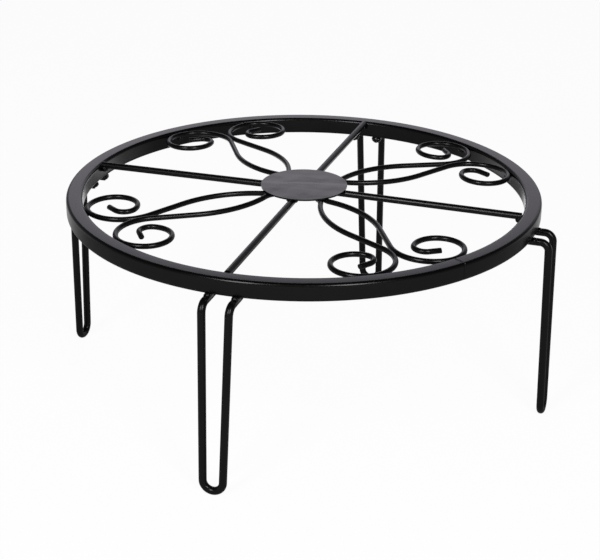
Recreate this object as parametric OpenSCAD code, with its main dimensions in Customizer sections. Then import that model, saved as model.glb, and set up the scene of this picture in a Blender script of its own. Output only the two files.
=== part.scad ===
// Round wire plant stand: a rolled tube ring with a scrolled wire grate on four hairpin legs.
// Millimetres, +Z up, floor at z = 0, the ring's axis on the Z axis, legs and spokes on X and Y.

/* [Ring] */
// Outside diameter of the ring
ring_d = 306.5; // [270:0.5:400]
// Width of the square tube, seen from above
tube_w = 10.6; // [8:0.1:14]
// Height of the square tube
tube_h = 11.2; // [8:0.2:14]
// Wall of the square tube
tube_wall = 1; // [0.8:0.1:1.2]
// Outside corner radius of the square tube
tube_corner = 1.9; // [1.4:0.1:2.2]
// Place of the butt weld that closes the ring, counted round from the right-hand leg
seam_angle = -34.7; // [-70:0.1:-10]
// Width of the butt weld
seam_w = 0.9; // [0.5:0.1:2]
// How far the butt weld lies below the tube's skin after grinding
seam_relief = 0.12; // [0.05:0.01:0.3]

/* [Disc] */
// Diameter of the centre disc
disc_d = 56; // [46:1:64]
// Thickness of the centre disc
disc_t = 1; // [0.8:0.1:2]
// Height of the disc's underside above the top of the ring
crown = 1.3; // [1:0.1:4]
// Depth to which the disc is pressed into the wires that it is welded to
disc_seat = 0.1; // [0.05:0.01:0.2]

/* [Spokes] */
// Diameter of the spokes
spoke_d = 4.4; // [3.6:0.1:6]
// Distance of the spokes' inner ends from the stand's axis
spoke_in = 5; // [4.5:0.1:8]
// Height of the spokes' tops above the top of the ring where they meet it
spoke_rise = 0.7; // [0:0.1:0.9]

/* [Scrolls] */
// Diameter of the scroll wire
wire_d = 3.4; // [2.8:0.1:4]
// How far the tops of the wires lie below the top of the ring where they meet it
wire_low = 0.7; // [0:0.1:1.2]
// Gap between the two wires of a petal where they run side by side
pair_gap = 0.1; // [0.05:0.05:0.3]
// Gap between a scroll and the ring at the point where its weld holds it
scroll_gap = 0.02; // [0.01:0.01:0.1]
// Distance of the wires' inner ends from the stand's axis
wire_in = 14; // [12:0.5:16]
// Length of the straight pair under the disc
pair_run = 10; // [6:0.5:11]
// Bend radius where the two wires of a petal part
flare_r = 10; // [6:0.5:14]
// Angle at which each wire leaves the disc
flare_turn = 32; // [24:1:38]
// Angle at which each wire comes back to the petal's axis
return_turn = 16.3; // [13:0.1:20]
// Bend radius where the two wires meet again
meet_r = 28; // [20:1:40]
// Bend radius and turn of the scroll's first stretch
curl_r1 = 24; // [22:0.5:27]
// Turn of the scroll's first stretch
curl_turn1 = 76; // [70:1:84]
// Bend radius of the stretch that touches the ring
curl_r2 = 19; // [17.5:0.5:21]
// Turn of the stretch that touches the ring
curl_turn2 = 81; // [70:1:90]
// Bend radius of the scroll's round back
curl_r3 = 15.2; // [14:0.2:16.4]
// Turn of the scroll's round back
curl_turn3 = 165; // [150:1:175]
// Bend radius of the hook at the scroll's eye
curl_r4 = 7; // [5:0.5:8]
// Turn of the hook at the scroll's eye
curl_turn4 = 117; // [90:1:125]
// Straight tail at the free end
tail = 7.7; // [4:0.1:9]

/* [Legs] */
// Height of the top of the ring above the floor
stand_h = 135.4; // [100:0.1:220]
// Diameter of the leg rod
leg_d = 4.9; // [4:0.1:6]
// Distance between the two rods of a leg where they are welded to the ring
leg_spacing = 16.7; // [15.2:0.1:24]
// Centreline radius of the bend at the foot
foot_r = 6.4; // [4.5:0.1:7]
// Centreline radius of the bend at the top of a leg
leg_bend_r = 5.5; // [5:0.1:8]
// Distance from the ring's outside to the line of the leg at its corner
leg_out = 8.9; // [8.5:0.1:20]
// Outward lean of a leg
leg_splay = 1.4; // [0:0.1:5]
// How far the legs are set round from the spokes
leg_turn = -0.1; // [-2:0.1:2]
// How far each foot stands to one side of the middle of its leg's top
foot_shift = -2.1; // [-3:0.1:0.5]
// How far the rods' inner ends stop short of the ring's inside
leg_short = 2.8; // [2:0.1:3.5]

/* [Welds] */
// Radius of the beads between the leg rods and the ring
leg_bead_r = 2; // [1.8:0.1:2.6]
// How far those beads' centres lie below the bottom of the ring
leg_bead_drop = 0.4; // [0:0.1:1]
// Radius of the beads between the spokes and the ring
spoke_bead_r = 2.6; // [2.3:0.1:3]
// How far those beads' centres lie below the spokes' centrelines
spoke_bead_drop = 2; // [1.4:0.1:2.4]
// Radius of the beads between the scrolls and the ring
scroll_bead_r = 1.8; // [1.5:0.1:2.2]
// How far the tops of the beads in a groove lie below its two sides' nearest points
groove_low = 0.5; // [0.4:0.1:0.8]
// Radius of the beads where the two wires of a petal meet
tip_bead_r = 1; // [0.9:0.1:1.4]
// Radius of the beads under the disc
disc_bead_r = 1.7; // [1.4:0.1:2]

/* [Hidden] */
$fn = 72;
ring_fn = 360;

coat = [0.09, 0.09, 0.1];
weld_coat = [0.14, 0.14, 0.15];

// Quarters of the stand, counted round from +X
RIGHT = 0;
BACK = 1;
LEFT = 2;
FRONT = 3;
quarters = [RIGHT, BACK, LEFT, FRONT];
sides = [1, -1];

// Each step of a wire stops a hair short of the next, inside a sleeve that joins them
joint_gap = 0.1;
sleeve_l = 0.5;
sleeve_swell = 0.02;

ring_r = ring_d / 2;
ring_in_r = ring_r - tube_w;
ring_bottom = stand_h - tube_h;
seam_arc = seam_w / (ring_r - tube_w / 2) * 180 / PI;

disc_r = disc_d / 2;
disc_z = stand_h + crown;

// Slope of a wire whose top lies `low` below the ring's top at the ring, and touches the disc
function grate_tilt(low) = atan((crown + disc_seat + low) / (ring_in_r - disc_r));

// A wire path starts at the origin along +X. Each step is [0, length] for a straight stretch,
// or [radius, turn] for a bend, to the left where the radius is positive, to the right where not.
function bend_side(s) = s[0] < 0 ? -1 : 1;
function next_pose(p, s) =
    s[0] == 0
        ? [p[0] + s[1] * cos(p[2]), p[1] + s[1] * sin(p[2]), p[2]]
        : let (a = p[2] + bend_side(s) * s[1])
          [p[0] + s[0] * (sin(a) - sin(p[2])), p[1] + s[0] * (cos(p[2]) - cos(a)), a];
function pose_after(steps, n) =
    n == 0 ? [0, 0, 0] : next_pose(pose_after(steps, n - 1), steps[n - 1]);

// Distance of each petal wire from the petal's axis where the pair runs side by side
pair_y = (wire_d + pair_gap) / 2;

// The scroll's second stretch touches the ring. Its centre, seen from the point where the pair meets:
touch_dx = (curl_r1 - curl_r2) * sin(curl_turn1);
touch_y = pair_y + curl_r1 - (curl_r1 - curl_r2) * cos(curl_turn1);
touch_reach = ring_in_r - scroll_gap - wire_d / 2 - curl_r2;
meet_x = sqrt(touch_reach * touch_reach - touch_y * touch_y) - touch_dx;
touch_angle = atan(touch_y / (meet_x + touch_dx));

// The petal's side is bent to the radius that fills the way from the disc to that point
flare_rise = flare_r * (1 - cos(flare_turn)) - meet_r * (1 - cos(return_turn));
petal_span = meet_x - wire_in - pair_run - flare_r * sin(flare_turn) - meet_r * sin(return_turn)
    - flare_rise / tan(return_turn);
petal_r = petal_span
    / (sin(flare_turn) + sin(return_turn) + (cos(return_turn) - cos(flare_turn)) / tan(return_turn));
return_run = (flare_rise + petal_r * (cos(return_turn) - cos(flare_turn))) / sin(return_turn);

scroll_path = [
    [0, pair_run],
    [flare_r, flare_turn],
    [-petal_r, flare_turn + return_turn],
    [0, return_run],
    [meet_r, return_turn],
    [curl_r1, curl_turn1],
    [curl_r2, curl_turn2],
    [curl_r3, curl_turn3],
    [curl_r4, curl_turn4],
    [0, tail]
];
TOUCH_STEP = 6;
MEET_STEPS = 5;

// A leg is a hairpin: its rods run out under the ring, bend down and close in on the foot's bend
run_z = ring_bottom - leg_d / 2;
corner_r = ring_r + leg_out;
leg_in_r = ring_in_r + leg_short;
leg_y = leg_spacing / 2;
foot_drop = (run_z - leg_d / 2) / cos(leg_splay) - foot_r;
function foot_away(side) = leg_y - side * foot_shift;
function close_in(side) =
    acos(foot_r / norm([foot_away(side), foot_drop])) - atan(foot_drop / foot_away(side));
function leg_turn_down(side) = acos(sin(leg_splay) * cos(close_in(side)));
function leg_roll(side) = atan(tan(close_in(side)) / cos(leg_splay));
function bend_setback(side) = leg_bend_r * tan(leg_turn_down(side) / 2);
function leg_drop(side) = (foot_drop + foot_r * sin(close_in(side))) / cos(close_in(side));
// Outer beads reach under the ring only as far as its rounded corner stands clear of the rods
bead_reach = tube_corner * 0.8;
// Half the angle of the stretch of the ring that the beads of one leg are cut back to
leg_room = 10;
function leg_path(side) = [
    [0, corner_r - leg_in_r - bend_setback(side)],
    [-leg_bend_r, leg_turn_down(side)],
    [0, leg_drop(side) - bend_setback(side)]
];

// ---------- shapes that repeat ----------

module in_quarter(q, offset = 0) rotate([0, 0, 90 * q + offset]) children();

module on_side(side) mirror([0, side < 0 ? 1 : 0, 0]) children();

// A sloping frame of the grate: its XY plane holds the tops of the wires
module in_grate(low) {
    translate([ring_in_r, 0, stand_h - low])
        rotate([0, grate_tilt(low), 0])
            translate([-ring_in_r, 0, 0])
                children();
}

function trim_angle(r) = joint_gap / 2 / r * 180 / PI;

module rod_arc(d, r, turn) {
    rotate([0, 0, trim_angle(r)])
        rotate_extrude(angle = turn - 2 * trim_angle(r))
            translate([r, 0])
                circle(d = d);
}

module rod_run(d, l) {
    translate([joint_gap / 2, 0, 0]) rotate([0, 90, 0]) cylinder(d = d, h = l - joint_gap);
}

module wire_step(d, s) {
    if (s[0] == 0)
        rod_run(d, s[1]);
    else
        translate([0, s[0], 0])
            mirror([0, s[0] < 0 ? 1 : 0, 0])
                rotate([0, 0, -90])
                    rod_arc(d, abs(s[0]), s[1]);
}

module at_pose(p) translate([p[0], p[1], 0]) rotate([0, 0, p[2]]) children();

module sleeve(d) rotate([0, 90, 0]) cylinder(d = d + 2 * sleeve_swell, h = sleeve_l, center = true);

module bent_wire(d, steps) {
    for (i = [0 : len(steps) - 1])
        at_pose(pose_after(steps, i)) wire_step(d, steps[i]);
    for (i = [1 : len(steps) - 1])
        at_pose(pose_after(steps, i)) sleeve(d);
}

module rounded_section(w, h, r) {
    translate([-w / 2, r]) square([w, h - 2 * r]);
    translate([-w / 2 + r, 0]) square([w - 2 * r, h]);
    for (x = [-w / 2 + r, w / 2 - r], y = [r, h - r])
        translate([x, y]) circle(r = r);
}

module tube_section(inset = 0) {
    difference() {
        translate([0, inset])
            rounded_section(tube_w - 2 * inset, tube_h - 2 * inset, tube_corner - inset);
        translate([0, tube_wall])
            rounded_section(tube_w - 2 * tube_wall, tube_h - 2 * tube_wall, tube_corner - tube_wall);
    }
}

module roll_round(from, arc) {
    translate([0, 0, ring_bottom])
        rotate([0, 0, from])
            rotate_extrude(angle = arc)
                translate([ring_r - tube_w / 2, 0])
                    children();
}

// The room that the ring takes up round a leg, which the beads there are cut back to
module ring_room()
    roll_round(-leg_room, 2 * leg_room, $fn = ring_fn)
        rounded_section(tube_w, tube_h, tube_corner);

// The room above the disc's underside, which every wire below it is cut back to
module disc_room() translate([0, 0, disc_z]) cylinder(r = disc_r, h = spoke_d);

// ---------- ring ----------

module ring_tube()
    color(coat) roll_round(seam_angle + seam_arc / 2, 360 - seam_arc) tube_section();

module ring_butt_weld()
    color(weld_coat) roll_round(seam_angle - seam_arc / 2, seam_arc) tube_section(seam_relief);

// ---------- grate ----------

module centre_disc()
    color(coat) translate([0, 0, disc_z]) cylinder(r = disc_r, h = disc_t);

module spoke_rod(l) {
    translate([spoke_in, 0, -spoke_d / 2]) rotate([0, 90, 0]) cylinder(d = spoke_d, h = l);
}

// A spoke's outer end is coped to the ring's inner wall
module spoke(q) {
    color(coat) in_quarter(q) difference() {
        intersection() {
            in_grate(-spoke_rise) spoke_rod(ring_r - spoke_in);
            cylinder(r = ring_in_r, h = stand_h + crown + spoke_d);
        }
        disc_room();
    }
}

// Steps `from` to `to` of one wire of a petal, on the side of its axis that `side` gives
module wire_part(side, from, to) {
    in_grate(wire_low)
        on_side(side)
            translate([wire_in, pair_y, -wire_d / 2])
                at_pose(pose_after(scroll_path, from))
                    bent_wire(wire_d, [for (i = [from : to]) scroll_path[i]]);
}

module scroll(q, side) {
    color(coat) in_quarter(q, 45) difference() {
        wire_part(side, 0, len(scroll_path) - 1);
        disc_room();
    }
}

// ---------- legs ----------

module leg_half(side) {
    translate([leg_in_r, leg_y, run_z])
        rotate([90 - leg_roll(side), 0, 0])
            bent_wire(leg_d, leg_path(side));
}

module foot_bend() {
    foot_arc = 180 - close_in(1) - close_in(-1);
    translate([corner_r, 0, run_z])
        rotate([0, -leg_splay, 0])
            translate([0, foot_shift, -foot_drop])
                rotate([90, 0, 90])
                    rotate([0, 0, 180 + close_in(-1)]) {
                        rod_arc(leg_d, foot_r, foot_arc);
                        for (a = [0, foot_arc])
                            rotate([0, 0, a])
                                translate([foot_r, 0, 0])
                                    rotate([0, 0, 90])
                                        sleeve(leg_d);
                    }
}

module leg(q) {
    color(coat) in_quarter(q, leg_turn) {
        for (side = sides)
            on_side(side) leg_half(side);
        foot_bend();
    }
}

// ---------- welds ----------

module upright(r) cylinder(r = r, h = stand_h, $fn = ring_fn);

module leg_bead(r) translate([r, leg_y, ring_bottom - leg_bead_drop]) sphere(r = leg_bead_r);

module outer_leg_bead(side) {
    difference() {
        on_side(side) difference() {
            leg_bead(ring_r);
            ring_room();
            leg_half(side);
        }
        upright(ring_r - bead_reach);
    }
}

module inner_leg_bead(side) {
    on_side(side) intersection() {
        leg_bead(leg_in_r - leg_bead_r / 2);
        cube([leg_in_r + joint_gap / 2, 2 * leg_spacing, ring_bottom]);
    }
}

// Four beads hold a leg: one on each rod at the ring's outer wall and one at the rod's inner end
module leg_welds(q) {
    color(weld_coat) in_quarter(q, leg_turn) for (side = sides) {
        outer_leg_bead(side);
        inner_leg_bead(side);
    }
}

// A bead on the ring's inner wall, `drop` below the top of a wire that lies `low` there
module wall_bead(r, low, drop) {
    intersection() {
        in_grate(low) translate([ring_in_r - r / 2, 0, -drop]) sphere(r = r);
        upright(ring_in_r);
    }
}

module spoke_welds() {
    color(weld_coat) for (q = quarters) in_quarter(q)
        difference() {
            wall_bead(spoke_bead_r, -spoke_rise, spoke_d / 2 + spoke_bead_drop);
            in_grate(-spoke_rise) spoke_rod(ring_r - spoke_in);
        }
}

// A bead under each scroll, where it touches the ring
module scroll_welds() {
    color(weld_coat) for (q = quarters, side = sides) in_quarter(q, 45)
        difference() {
            rotate([0, 0, side * touch_angle])
                wall_bead(scroll_bead_r, wire_low, wire_d / 2 + groove_low + scroll_bead_r);
            wire_part(side, TOUCH_STEP, TOUCH_STEP);
        }
}

// A bead in the groove under each pair, where its two wires meet
module petal_tip_welds() {
    color(weld_coat) for (q = quarters) in_quarter(q, 45)
        difference() {
            in_grate(wire_low)
                translate([meet_x, 0, -wire_d / 2 - groove_low - tip_bead_r])
                    sphere(r = tip_bead_r);
            for (side = sides)
                wire_part(side, MEET_STEPS - 1, MEET_STEPS);
        }
}

// Beads under the disc, one beside each spoke and one between the wires of each pair
module disc_welds() {
    bead_z = disc_z - disc_bead_r / 2;
    color(weld_coat) {
        for (q = quarters, side = sides) in_quarter(q)
            difference() {
                translate([disc_r - 2 * disc_bead_r, side * spoke_d / 2, bead_z])
                    sphere(r = disc_bead_r);
                in_grate(-spoke_rise) spoke_rod(ring_r - spoke_in);
                disc_room();
            }
        for (q = quarters) in_quarter(q, 45)
            difference() {
                translate([wire_in + pair_run / 2, 0, bead_z]) sphere(r = disc_bead_r);
                for (side = sides) wire_part(side, 0, 0);
                disc_room();
            }
    }
}

// ---------- the stand ----------

ring_tube();
ring_butt_weld();
centre_disc();
spoke(RIGHT);  // spoke_right
spoke(BACK);  // spoke_back
spoke(LEFT);  // spoke_left
spoke(FRONT);  // spoke_front
scroll(RIGHT, 1);  // scroll_back_right_a
scroll(RIGHT, -1);  // scroll_back_right_b
scroll(BACK, 1);  // scroll_back_left_a
scroll(BACK, -1);  // scroll_back_left_b
scroll(LEFT, 1);  // scroll_front_left_a
scroll(LEFT, -1);  // scroll_front_left_b
scroll(FRONT, 1);  // scroll_front_right_a
scroll(FRONT, -1);  // scroll_front_right_b
leg(RIGHT);  // leg_right
leg(BACK);  // leg_back
leg(LEFT);  // leg_left
leg(FRONT);  // leg_front
leg_welds(RIGHT);  // leg_welds_right
leg_welds(BACK);  // leg_welds_back
leg_welds(LEFT);  // leg_welds_left
leg_welds(FRONT);  // leg_welds_front
spoke_welds();
scroll_welds();
petal_tip_welds();
disc_welds();
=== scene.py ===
import math

import bpy
from mathutils import Matrix, Vector, noise


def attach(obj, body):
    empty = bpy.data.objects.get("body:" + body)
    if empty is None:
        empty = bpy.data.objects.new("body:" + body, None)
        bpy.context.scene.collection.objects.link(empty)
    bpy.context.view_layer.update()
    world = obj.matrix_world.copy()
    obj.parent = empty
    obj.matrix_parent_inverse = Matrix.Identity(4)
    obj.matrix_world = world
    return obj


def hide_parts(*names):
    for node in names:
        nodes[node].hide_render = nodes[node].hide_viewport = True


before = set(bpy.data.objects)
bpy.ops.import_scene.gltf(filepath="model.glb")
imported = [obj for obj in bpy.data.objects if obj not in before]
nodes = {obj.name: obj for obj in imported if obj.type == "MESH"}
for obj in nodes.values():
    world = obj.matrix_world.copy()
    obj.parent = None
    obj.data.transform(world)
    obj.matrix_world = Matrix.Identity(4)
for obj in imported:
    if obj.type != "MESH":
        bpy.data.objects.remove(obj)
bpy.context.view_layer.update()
scene = bpy.context.scene
MM = 0.001


# ---------- the stand's sizes in mm and degrees, as in the CAD model ----------

RING_R, TUBE_W, TUBE_H = 153.25, 10.6, 11.2
RING_IN_R = RING_R - TUBE_W
TUBE_WALL, TUBE_CORNER = 1.0, 1.9
SEAM_ANGLE, SEAM_W = -34.7, 0.9
STAND_H = 135.4
RING_BOTTOM = STAND_H - TUBE_H
CROWN, DISC_R, DISC_SEAT = 1.3, 28.0, 0.1
WIRE_D, PAIR_GAP, SCROLL_GAP, WIRE_IN, WIRE_LOW = 3.4, 0.1, 0.02, 14.0, 0.7
PAIR_RUN, FLARE_R, FLARE_TURN, RETURN_TURN, MEET_R = 10.0, 10.0, 32.0, 16.3, 28.0
CURLS = ((24.0, 76.0), (19.0, 81.0), (15.2, 165.0), (7.0, 117.0))
TAIL = 7.7
LEG_D, LEG_SPACING, FOOT_R, LEG_BEND_R = 4.9, 16.7, 6.4, 5.5
LEG_OUT, LEG_SPLAY, LEG_TURN, FOOT_SHIFT, LEG_SHORT = 8.9, 1.4, -0.1, -2.1, 2.8

# What this script adds to them: the bulge of the tube's faces, the chamfer at the closing weld,
# the skin left off the leg rods to stay inside the CAD model's box, and the slant of a wire's cut.
TUBE_CROWN, SEAM_NOTCH, SKIN, END_SLANT = 0.03, 0.3, 0.01, 0.25

# The lip round a cut end: its depth as a share of the wire's radius, and where it turns.
LIP, LIP_KNEE = 0.16, 0.3

# How finely the surfaces are made. A pitch is the angle from one point of a bend to the next.
WIRE_PITCH, LEG_PITCH = 3.0, 6.0
WIRE_SIDES, FOOT_STEPS, RING_STEPS, CORNER_STEPS = 24, 30, 360, 5
FACE_PARTS = (0.94, 0.6, 0, -0.6, -0.94)
LUMP_ROWS, LUMP_COLS = 14, 20
# The angle from which an edge stays sharp.
CAD_EDGE, SWEPT_EDGE, LUMP_EDGE = 30, 35, 80


def sin(a):
    return math.sin(math.radians(a))


def cos(a):
    return math.cos(math.radians(a))


def tan(a):
    return math.tan(math.radians(a))


def acos(v):
    return math.degrees(math.acos(v))


def atan(v):
    return math.degrees(math.atan(v))


def turned(angle, axis):
    return Matrix.Rotation(math.radians(angle), 4, axis)


def moved(x, y, z):
    return Matrix.Translation((x, y, z))


# ---------- materials ----------

COAT_DARK, COAT_PALE = (0.0026, 0.0025, 0.0028), (0.0038, 0.0037, 0.0041)
# Noise scales and details: the colour's clouds, the skin's peel, the grain and the disc's warp
CLOUDS, PEEL, GRAIN, WARP = (55, 3), (700, 2), (2600, 1), (45, 1.5)
CLOUD_FROM, CLOUD_TO = 0.35, 0.65
GRAIN_FROM, GRAIN_TO, LESS_ROUGH, MORE_ROUGH = 0.3, 0.7, 0.03, 0.04
# Heights and widths in metres: the closing weld's ridge, the disc's warp, and the disc's fold
SEAM_H, WARP_H = 0.00008, 0.0005
FOLD_WAY = (-0.18, 0.98, 0)
FOLD_DRIFT, FOLD_W, FOLD_H = 0.006, 0.0028, 0.00016


class Nodes:
    """Short calls for building a node tree."""

    def __init__(self, tree):
        self.tree = tree

    def add(self, kind, **settings):
        n = self.tree.nodes.new(kind)
        for k, v in settings.items():
            setattr(n, k, v)
        return n

    def link(self, a, b):
        self.tree.links.new(a, b)

    def camera_ray(self):
        return self.add("ShaderNodeLightPath").outputs["Is Camera Ray"]

    def coordinate(self, kind):
        return self.add("ShaderNodeTexCoord").outputs[kind]

    def noise(self, where, scale, detail):
        n = self.add("ShaderNodeTexNoise")
        n.inputs["Scale"].default_value = scale
        n.inputs["Detail"].default_value = detail
        self.link(where, n.inputs["Vector"])
        return n.outputs["Fac"]

    def calc(self, operation, *values):
        n = self.add("ShaderNodeMath", operation=operation)
        for i, value in enumerate(values):
            self.link(value, n.inputs[i])
        return n.outputs["Value"]

    def along(self, where, way):
        """How far a place or a direction reaches along a fixed direction."""
        n = self.add("ShaderNodeVectorMath", operation="DOT_PRODUCT")
        self.link(where, n.inputs[0])
        n.inputs[1].default_value = way
        return n.outputs["Value"]

    def remap(self, value, first, last, start=0.0, end=1.0):
        """From first where the value is at start to last where it is at end, and level beyond."""
        n = self.add("ShaderNodeMapRange")
        n.inputs["From Min"].default_value = start
        n.inputs["From Max"].default_value = end
        n.inputs["To Min"].default_value = first
        n.inputs["To Max"].default_value = last
        self.link(value, n.inputs["Value"])
        return n.outputs["Result"]

    def mix(self, fac, c1, c2, blend="MIX"):
        """Mixes two colours, each a fixed one or a link. So is the factor."""
        n = self.add("ShaderNodeMix", data_type="RGBA", blend_type=blend)
        if isinstance(fac, (int, float)):
            n.inputs["Factor"].default_value = fac
        else:
            self.link(fac, n.inputs["Factor"])
        for c, key in ((c1, "A"), (c2, "B")):
            if isinstance(c, tuple):
                n.inputs[key].default_value = (*c, 1)
            else:
                self.link(c, n.inputs[key])
        return n.outputs["Result"]

    def ramp(self, value, stops):
        """Greys at those places of the value, and straight between them."""
        n = self.add("ShaderNodeValToRGB")
        e = n.color_ramp.elements
        for i, (pos, v) in enumerate(stops):
            s = e[0] if i == 0 else (e[-1] if i == len(stops) - 1 else e.new(pos))
            s.position = pos
            s.color = (v, v, v, 1)
        self.link(value, n.inputs[0])
        return n.outputs["Color"]

    def hump(self, across):
        """1 in the middle and 0 at -1 and 1."""
        return self.remap(self.calc("MULTIPLY", across, across), 1, 0)

    def bump(self, height, depth, after=None):
        n = self.add("ShaderNodeBump")
        n.inputs["Distance"].default_value = depth
        self.link(height, n.inputs["Height"])
        if after:
            self.link(after, n.inputs["Normal"])
        return n.outputs["Normal"]

    def diffuse(self, grey):
        n = self.add("ShaderNodeBsdfDiffuse")
        n.inputs["Color"].default_value = (grey, grey, grey, 1)
        return n.outputs[0]

    def sum(self, a, b):
        n = self.add("ShaderNodeAddShader")
        self.link(a, n.inputs[0])
        self.link(b, n.inputs[1])
        return n.outputs[0]


def ridge(t, where):
    """Height across the ring's closing weld: a low rounded bead."""
    across = t.along(where, (-sin(SEAM_ANGLE), cos(SEAM_ANGLE), 0))
    half = SEAM_W / 2 * MM
    return t.hump(t.remap(across, -1, 1, -half, half))


def buckle(t, where, skin):
    """The welds under the thin sheet draw it: a slow warp and one wandering fold."""
    slow = t.noise(where, *WARP)
    line = t.calc("ADD", t.along(where, FOLD_WAY), t.remap(slow, -FOLD_DRIFT, FOLD_DRIFT))
    skin = t.bump(slow, WARP_H, skin)
    return t.bump(t.remap(line, 1, 0, 0, FOLD_W), FOLD_H, skin)


def coat(name, rough, peel, grain, buckled=False, ridged=False):
    """Satin black powder coat: a skin with a fine peel and a finer grain."""
    m = bpy.data.materials.new(name)
    m.use_nodes = True
    t = Nodes(m.node_tree)
    shader = m.node_tree.nodes["Principled BSDF"]
    where = t.coordinate("Object")
    cloud = t.noise(where, *CLOUDS)
    speck = t.noise(where, *GRAIN)
    colour = t.mix(t.remap(cloud, 0, 1, CLOUD_FROM, CLOUD_TO), COAT_DARK, COAT_PALE)
    roughness = t.remap(speck, rough - LESS_ROUGH, rough + MORE_ROUGH, GRAIN_FROM, GRAIN_TO)
    skin = t.bump(t.noise(where, *PEEL), peel)
    if ridged:
        skin = t.bump(ridge(t, where), SEAM_H, skin)
    if buckled:
        skin = buckle(t, where, skin)
    t.link(colour, shader.inputs["Base Color"])
    t.link(roughness, shader.inputs["Roughness"])
    t.link(t.bump(speck, grain, skin), shader.inputs["Normal"])
    return m


# Roughness, then the depths of the peel and of the grain
tube_coat = coat("tube_coat", 0.22, 0.000006, 0.000001)
sheet_coat = coat("sheet_coat", 0.17, 0.000006, 0.000001, buckled=True)
rod_coat = coat("rod_coat", 0.26, 0.0000015, 0.0000003)
weld_coat = coat("weld_coat", 0.24, 0.00002, 0.000002)
seam_coat = coat("seam_coat", 0.26, 0.00003, 0.000004, ridged=True)


def finish_surface(o, m, angle):
    o.data.materials.clear()
    o.data.materials.append(m)
    o.data.shade_smooth()
    o.data.set_sharp_from_angle(angle=math.radians(angle))


own_coats = {"ring_tube": tube_coat, "ring_butt_weld": seam_coat, "centre_disc": sheet_coat}
for name, node in nodes.items():
    shared_coat = weld_coat if "weld" in name else rod_coat
    finish_surface(node, own_coats.get(name, shared_coat), CAD_EDGE)


# ---------- rods and wires, swept in one piece from end to end ----------

def path_points(steps, pitch):
    """Points in the XY plane along straight stretches (0, length) and bends (radius, turn).

    A negative radius bends to the right.
    """
    x, y, a = 0.0, 0.0, 0.0
    points = [Vector((0, 0, 0))]
    for r, s in steps:
        if r == 0:
            x, y = x + s * cos(a), y + s * sin(a)
            points.append(Vector((x, y, 0)))
            continue
        side = 1 if r > 0 else -1
        count = max(2, round(s / pitch))
        for i in range(1, count + 1):
            b = a + side * s * i / count
            points.append(Vector((x + r * (sin(b) - sin(a)), y + r * (cos(a) - cos(b)), 0)))
        x, y, a = points[-1].x, points[-1].y, a + side * s
    return points


def shape(name, verts, faces, m, angle=SWEPT_EDGE):
    mesh = bpy.data.meshes.new(name)
    mesh.from_pydata(verts, [], faces)
    mesh.update()
    o = bpy.data.objects.new(name, mesh)
    scene.collection.objects.link(o)
    finish_surface(o, m, angle)
    return o


def sweep(name, points, radius, slant=0.0):
    """A round wire along the points, with a soft lip round each cut and a slant at the last one."""
    tangents = []
    for i in range(len(points)):
        a = points[max(i - 1, 0)]
        b = points[min(i + 1, len(points) - 1)]
        tangents.append((b - a).normalized())
    across = tangents[0].orthogonal().normalized()
    rings = []
    for i, (p, t) in enumerate(zip(points, tangents)):
        if i:
            across = tangents[i - 1].rotation_difference(t) @ across
        across = (across - t * across.dot(t)).normalized()
        rings.append((p, t, across))
    lip = radius * LIP
    lips = ((radius - lip, 0.0), (radius - lip * LIP_KNEE, lip * LIP_KNEE), (radius, lip))
    loops = [(*rings[0], r, inward, 0.0) for r, inward in lips]
    loops += [(*ring, radius, 0.0, 0.0) for ring in rings[1:-1]]
    loops += [(*rings[-1], r, -inward, slant) for r, inward in reversed(lips)]
    verts, faces = [], []
    for p, t, u, r, shift, lean in loops:
        w = t.cross(u)
        for k in range(WIRE_SIDES):
            a = 2 * math.pi * k / WIRE_SIDES
            rim = u * (r * math.cos(a)) + w * (r * math.sin(a))
            verts.append(p + rim + t * (shift + lean * math.sin(a)))
    last = (len(loops) - 1) * WIRE_SIDES
    for a in range(0, last, WIRE_SIDES):
        b = a + WIRE_SIDES
        for k in range(WIRE_SIDES):
            j = (k + 1) % WIRE_SIDES
            faces.append((a + k, a + j, b + j, b + k))
    faces.append(tuple(reversed(range(WIRE_SIDES))))
    faces.append(tuple(range(last, last + WIRE_SIDES)))
    return shape(name, [v * MM for v in verts], faces, rod_coat)


def stands_for(o, node):
    """Puts a surface made here in place of the CAD node."""
    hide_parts(node)
    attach(o, "root")


def scroll_steps():
    """The steps of one petal wire, worked out as in the CAD model."""
    (r1, t1), (r2, t2) = CURLS[:2]
    pair_y = (WIRE_D + PAIR_GAP) / 2
    touch_dx = (r1 - r2) * sin(t1)
    touch_y = pair_y + r1 - (r1 - r2) * cos(t1)
    reach = RING_IN_R - SCROLL_GAP - WIRE_D / 2 - r2
    meet_x = math.sqrt(reach * reach - touch_y * touch_y) - touch_dx
    rise = FLARE_R * (1 - cos(FLARE_TURN)) - MEET_R * (1 - cos(RETURN_TURN))
    span = meet_x - WIRE_IN - PAIR_RUN - FLARE_R * sin(FLARE_TURN) - MEET_R * sin(RETURN_TURN)
    span -= rise / tan(RETURN_TURN)
    petal_r = span / (sin(FLARE_TURN) + sin(RETURN_TURN)
                      + (cos(RETURN_TURN) - cos(FLARE_TURN)) / tan(RETURN_TURN))
    run = (rise + petal_r * (cos(RETURN_TURN) - cos(FLARE_TURN))) / sin(RETURN_TURN)
    return [(0, PAIR_RUN), (FLARE_R, FLARE_TURN), (-petal_r, FLARE_TURN + RETURN_TURN), (0, run),
            (MEET_R, RETURN_TURN), *CURLS, (0, TAIL)]


def grate_frame(low):
    """A petal's plane: that far under the ring's top, and rising towards the disc."""
    tilt = atan((CROWN + DISC_SEAT + low) / (RING_IN_R - DISC_R))
    return moved(RING_IN_R, 0, STAND_H - low) @ turned(tilt, "Y") @ moved(-RING_IN_R, 0, 0)


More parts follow.
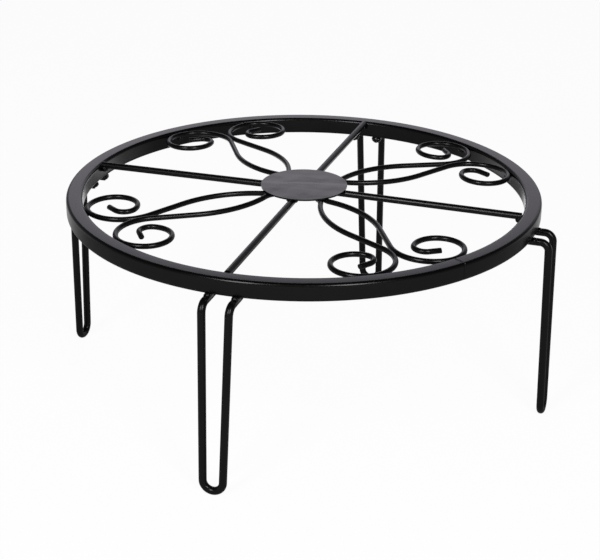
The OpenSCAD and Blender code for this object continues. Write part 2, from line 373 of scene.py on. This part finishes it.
def make_scrolls():
    """The eight petal wires: one at each quarter, and its mirror image."""
    start = Vector((WIRE_IN, (WIRE_D + PAIR_GAP) / 2, -WIRE_D / 2))
    flat = [start + p for p in path_points(scroll_steps(), WIRE_PITCH)]
    for q, corner in enumerate(("back_right", "back_left", "front_left", "front_right")):
        place = turned(90 * q + 45, "Z") @ grate_frame(WIRE_LOW)
        for letter, side in (("a", 1), ("b", -1)):
            points = [place @ Vector((p.x, side * p.y, p.z)) for p in flat]
            o = sweep(f"wire_{corner}_{letter}", points, WIRE_D / 2, END_SLANT * side)
            stands_for(o, f"scroll_{corner}_{letter}")


def leg_points():
    """One hairpin: out under the ring, down, round the foot and back, as in the CAD model."""
    run_z = STAND_H - TUBE_H - LEG_D / 2
    corner_r, in_r = RING_R + LEG_OUT, RING_IN_R + LEG_SHORT
    drop = (run_z - LEG_D / 2) / cos(LEG_SPLAY) - FOOT_R
    closes, halves = {}, {}
    for side in (1, -1):
        away = LEG_SPACING / 2 - side * FOOT_SHIFT
        c = acos(FOOT_R / math.hypot(away, drop)) - atan(drop / away)
        down = acos(sin(LEG_SPLAY) * cos(c))
        roll = atan(tan(c) / cos(LEG_SPLAY))
        setback = LEG_BEND_R * tan(down / 2)
        long = (drop + FOOT_R * sin(c)) / cos(c) - setback
        steps = [(0, corner_r - in_r - setback), (-LEG_BEND_R, down), (0, long)]
        rod = moved(in_r, LEG_SPACING / 2, run_z) @ turned(90 - roll, "X")
        points = [rod @ p for p in path_points(steps, LEG_PITCH)]
        halves[side] = [Vector((p.x, side * p.y, p.z)) for p in points]
        closes[side] = c
    place = moved(corner_r, 0, run_z) @ turned(-LEG_SPLAY, "Y") @ moved(0, FOOT_SHIFT, -drop)
    arc = 180 - closes[1] - closes[-1]
    foot = []
    for i in range(1, FOOT_STEPS):
        a = 180 + closes[-1] + arc * i / FOOT_STEPS
        foot.append(place @ Vector((0, FOOT_R * cos(a), FOOT_R * sin(a))))
    return halves[-1] + foot + halves[1][::-1]


def make_legs():
    points = leg_points()
    for q, quarter in enumerate(("right", "back", "left", "front")):
        place = turned(90 * q + LEG_TURN, "Z")
        o = sweep(f"hairpin_{quarter}", [place @ p for p in points], LEG_D / 2 - SKIN)
        stands_for(o, f"leg_{quarter}")


def tube_section(inset):
    """Points round the rolled tube's section: rounded corners and faces that bulge by the crown."""
    w, h, r = TUBE_W / 2 - inset, TUBE_H / 2 - inset, TUBE_CORNER - inset
    centre_x, centre_y = w - r - TUBE_CROWN, h - r - TUBE_CROWN
    points = []
    for k, (sx, sy) in enumerate(((1, 1), (-1, 1), (-1, -1), (1, -1))):
        for i in range(CORNER_STEPS + 1):
            a = 90 * k + 90 * i / CORNER_STEPS
            points.append((sx * centre_x + r * cos(a), sy * centre_y + r * sin(a)))
        half, rise = (centre_x, h) if k % 2 == 0 else (centre_y, w)
        for part in FACE_PARTS:
            along, out = half * part, rise - TUBE_CROWN + TUBE_CROWN * (1 - part * part)
            points.append([(along, out), (-out, along), (-along, -out), (out, -along)][k])
    return points


def make_ring():
    """The ring tube: one rolled length, from one side of the closing weld to the other."""
    outer, notched, inner = (tube_section(inset) for inset in (0, SEAM_NOTCH, TUBE_WALL))
    gap, notch = math.degrees(SEAM_W / 2 / RING_R), math.degrees(SEAM_NOTCH / RING_R)
    start, end = SEAM_ANGLE + gap, SEAM_ANGLE + 360 - gap
    stations = [(start, notched, inner), (start + notch, outer, inner)]
    for i in range(1, RING_STEPS):
        stations.append((start + (end - start) * i / RING_STEPS, outer, inner))
    stations += [(end - notch, outer, inner), (end, notched, inner)]
    n = len(outer)
    verts, faces = [], []
    for angle, *loops in stations:
        for loop in loops:
            for x, z in loop:
                r, up = RING_R - TUBE_W / 2 + x, STAND_H - TUBE_H / 2 + z
                verts.append((r * cos(angle) * MM, r * sin(angle) * MM, up * MM))
    last = 2 * n * (len(stations) - 1)
    for a in range(0, last, 2 * n):
        b = a + 2 * n
        for k in range(n):
            j = (k + 1) % n
            faces.append((a + k, b + k, b + j, a + j))
            faces.append((a + n + j, b + n + j, b + n + k, a + n + k))
    for k in range(n):
        j = (k + 1) % n
        faces.append((k, j, n + j, n + k))
        faces.append((last + j, last + k, last + n + k, last + n + j))
    o = shape("rolled_tube", verts, faces, tube_coat)
    stands_for(o, "ring_tube")


# Weld metal at the legs, in mm. Each leg's outer beads have their own shift along the wall and
# half width. An offset is out, along and up from the rod and the ring's lower edge.
OUTER_BEADS = (("right", -2.7, 2.5), ("back", -1.2, 2.4), ("left", -1.2, 2.4), ("front", 0.2, 2.1))
OUTER_OUT, OUTER_UP, OUTER_HALF = 0.1, -0.5, 1.7
INNER_OUT, INNER_SHIFT, INNER_UP = 0.6, -0.5, -1.9
INNER_HALVES = (2.6, 3.5, 2.5)
INNER_SEED = 9
LUMP_UNEVEN, LUMP_SCALE, SEED_STEP = 0.16, 1.6, 3.7


def lump(verts, faces, place, halves, seed):
    """Adds a lump of weld metal: an uneven ball of those half sizes."""
    def put(a, b):
        way = Vector((math.sin(a) * math.cos(b), math.sin(a) * math.sin(b), math.cos(a)))
        size = 1 + LUMP_UNEVEN * noise.noise(way * LUMP_SCALE + Vector((seed * SEED_STEP, 0, 0)))
        verts.append((place @ Vector(tuple(way[j] * halves[j] * size for j in range(3)))) * MM)

    top, cols = len(verts), LUMP_COLS
    put(0, 0)
    for i in range(1, LUMP_ROWS):
        for k in range(cols):
            put(math.pi * i / LUMP_ROWS, 2 * math.pi * k / cols)
    bottom = len(verts)
    put(math.pi, 0)
    for k in range(cols):
        j = (k + 1) % cols
        faces.append((top, top + 1 + k, top + 1 + j))
        for r in range(top + 1, bottom - cols, cols):
            faces.append((r + k, r + cols + k, r + cols + j, r + j))
        faces.append((bottom, bottom - cols + j, bottom - cols + k))


def make_leg_beads():
    """Two beads to each rod: one at the ring's outer wall and one over the rod's inner end."""
    for q, (quarter, shift, wide) in enumerate(OUTER_BEADS):
        verts, faces = [], []
        around = turned(90 * q + LEG_TURN, "Z")
        for side in (1, -1):
            y = side * LEG_SPACING / 2
            outer = moved(RING_R + OUTER_OUT, y + shift, RING_BOTTOM + OUTER_UP)
            rod_end = RING_IN_R + LEG_SHORT
            inner = moved(rod_end + INNER_OUT, y + INNER_SHIFT, RING_BOTTOM + INNER_UP)
            seed = 2 * q + side
            lump(verts, faces, around @ outer, (OUTER_HALF, wide, OUTER_HALF), seed)
            lump(verts, faces, around @ inner, INNER_HALVES, seed + INNER_SEED)
        o = shape(f"beads_{quarter}", verts, faces, weld_coat, LUMP_EDGE)
        stands_for(o, f"leg_welds_{quarter}")


make_ring()
make_scrolls()
make_legs()
make_leg_beads()


# ---------- weld beads: the CAD beads, run and rippled ----------

# Lengths in metres
BEAD_VOXEL, BEAD_SMOOTHING = 0.00022, 12
RIPPLE_SCALE, RIPPLE_H, RIPPLE_LEVEL = 0.0016, 0.00022, 0.3


def run_bead(node):
    """A CAD bead's own shape, melted at its edges and rippled along its run."""
    soft = node.modifiers.new("melt", "REMESH")
    soft.mode = "VOXEL"
    soft.voxel_size = BEAD_VOXEL
    soft.use_smooth_shade = True
    relax = node.modifiers.new("relax", "SMOOTH")
    relax.iterations = BEAD_SMOOTHING
    ripple = bpy.data.textures.new(node.name + "_ripple", "CLOUDS")
    ripple.noise_scale = RIPPLE_SCALE
    ripple.noise_depth = 1
    push = node.modifiers.new("ripple", "DISPLACE")
    push.texture = ripple
    push.texture_coords = "GLOBAL"
    push.strength = RIPPLE_H
    push.mid_level = RIPPLE_LEVEL


for name in ("spoke_welds", "scroll_welds", "petal_tip_welds", "disc_welds"):
    run_bead(nodes[name])


# ---------- stage, light and camera ----------

FLOOR_HALF = 4.0
# The floor's paper as the metal sees it and as the camera sees it, and its glow for the camera
PAPER, SEEN_PAPER, GLOW = 0.62, 0.12, 0.95
# Level directions on the stage: to the back, and to one side
BEHIND, ASIDE = (-0.302, 0.953, 0), (0.951, 0.308, 0)
# The metal also sees the paper glow, painted light that stands in for the lit floor: up to that
# strength from near to far behind, in metres, and as much as the place's distance aside gives. Near
# the stand and straight behind it the glow stays low, a painted shadow of the stand.
BACK_GLOW, BACK_NEAR, BACK_FAR = 1.6, 0.1, 0.4
FLANK_GLOW_AND_SHADE = ((0.0, 0.06), (0.07, 0.08), (0.13, 1.0), (0.2, 0.6), (0.4, 0.3), (1.0, 0.25))

# Greys of the pale panel and of the dark room, from the horizon up
PANEL = ((0.0, 0.3), (0.12, 0.4), (0.22, 0.75), (0.3, 1.05), (0.36, 1.02), (0.41, 0.58),
         (0.44, 0.34), (0.47, 0.22), (0.5, 0.19), (0.58, 0.06), (1.0, 0.05))
ROOM = ((0.0, 0.15), (0.2, 0.13), (0.4, 0.06), (0.6, 0.03), (1.0, 0.025))
# The way to the panel's middle, and how far along it the panel starts and is full. Then the way to
# its shaded side, from where to where it fades along that, and the share that is left there.
PANEL_WAY, PANEL_START, PANEL_FULL = (-0.574, 0.819, 0), 0.45, 0.92
SHADE_WAY, SHADE_START, SHADE_FULL, SHADE_REST = (-0.819, -0.574, 0), -0.12, 0.1, 0.08
TINT, WHITE = (1.0, 0.96, 1.06), (1, 1, 1)

BOX_AIM, BOX_RISE, BOX_FAR = (0, 0, 0.12), 33, 1.7
BOX_SIZE, BOX_POWER = (0.34, 0.85), 6.2


def stage_floor():
    """White paper, with a glow of its own: one for the camera and one for the metal. The metal's
    glow is painted light, with a painted shadow of the stand.
    """
    mesh = bpy.data.meshes.new("floor")
    r = FLOOR_HALF
    mesh.from_pydata([(-r, -r, 0), (r, -r, 0), (r, r, 0), (-r, r, 0)], [], [(0, 1, 2, 3)])
    floor = bpy.data.objects.new("floor", mesh)
    scene.collection.objects.link(floor)
    m = bpy.data.materials.new("floor_paper")
    m.use_nodes = True
    m.node_tree.nodes.remove(m.node_tree.nodes["Principled BSDF"])
    t = Nodes(m.node_tree)
    place = t.coordinate("Object")
    lit = t.add("ShaderNodeEmission")
    behind = t.along(place, BEHIND)
    t.link(t.remap(behind, 0, BACK_GLOW, BACK_NEAR, BACK_FAR), lit.inputs["Strength"])
    # painted light for the metal's reflections, low in the middle as painted shadow of the stand
    t.link(t.ramp(t.calc("ABSOLUTE", t.along(place, ASIDE)), FLANK_GLOW_AND_SHADE), lit.inputs["Color"])
    glow = t.add("ShaderNodeEmission")
    glow.inputs["Strength"].default_value = GLOW
    pick = t.add("ShaderNodeMixShader")
    t.link(t.camera_ray(), pick.inputs["Fac"])
    t.link(t.sum(t.diffuse(PAPER), lit.outputs[0]), pick.inputs[1])
    t.link(t.sum(t.diffuse(SEEN_PAPER), glow.outputs[0]), pick.inputs[2])
    t.link(pick.outputs[0], m.node_tree.nodes["Material Output"].inputs["Surface"])
    mesh.materials.append(m)


def studio_world():
    """A dark room with one pale panel low behind the stand. The camera sees white."""
    world = bpy.data.worlds.new("studio")
    scene.world = world
    world.use_nodes = True
    t = Nodes(world.node_tree)
    way = t.coordinate("Generated")
    up = t.along(way, (0, 0, 1))
    facing = t.remap(t.along(way, PANEL_WAY), 0, 1, PANEL_START, PANEL_FULL)
    open_side = t.remap(t.along(way, SHADE_WAY), 1, SHADE_REST, SHADE_START, SHADE_FULL)
    lit = t.mix(t.calc("MULTIPLY", facing, open_side), t.ramp(up, ROOM), t.ramp(up, PANEL))
    seen = t.mix(t.camera_ray(), t.mix(1, lit, TINT, "MULTIPLY"), WHITE)
    t.link(seen, world.node_tree.nodes["Background"].inputs["Color"])


def softbox(name, azimuth):
    """An area lamp at that azimuth round the stand, in degrees from +X, aimed at the grate."""
    aim = Vector(BOX_AIM)
    level = cos(BOX_RISE)
    way = Vector((level * cos(azimuth), level * sin(azimuth), sin(BOX_RISE)))
    lamp = bpy.data.lights.new(name, "AREA")
    lamp.shape = "RECTANGLE"
    lamp.size, lamp.size_y = BOX_SIZE
    lamp.energy = BOX_POWER
    o = bpy.data.objects.new(name, lamp)
    scene.collection.objects.link(o)
    o.location = aim + way * BOX_FAR
    o.rotation_euler = way.to_track_quat("Z", "Y").to_euler()


def photo_camera():
    """The camera that was fitted to the photograph."""
    data = bpy.data.cameras.new("camera")
    data.sensor_width = 36
    data.lens = 92.672
    data.clip_start, data.clip_end = 0.05, 50
    cam = bpy.data.objects.new("camera", data)
    scene.collection.objects.link(cam)
    right = Vector((0.9512365, 0.30835353, 0.0081992))
    up = Vector((-0.13328922, 0.38692076, 0.9124288))
    look = Vector((-0.2781782, 0.86902844, -0.40915335))
    place = Vector((0.28456751, -0.89581562, 0.49096278))
    axes = Matrix((right, up, -look)).transposed().to_4x4()
    cam.matrix_world = Matrix.Translation(place) @ axes
    scene.camera = cam


stage_floor()
studio_world()
softbox("left_box", -103)
softbox("right_box", -50)
photo_camera()
scene.view_settings.view_transform = "Standard"
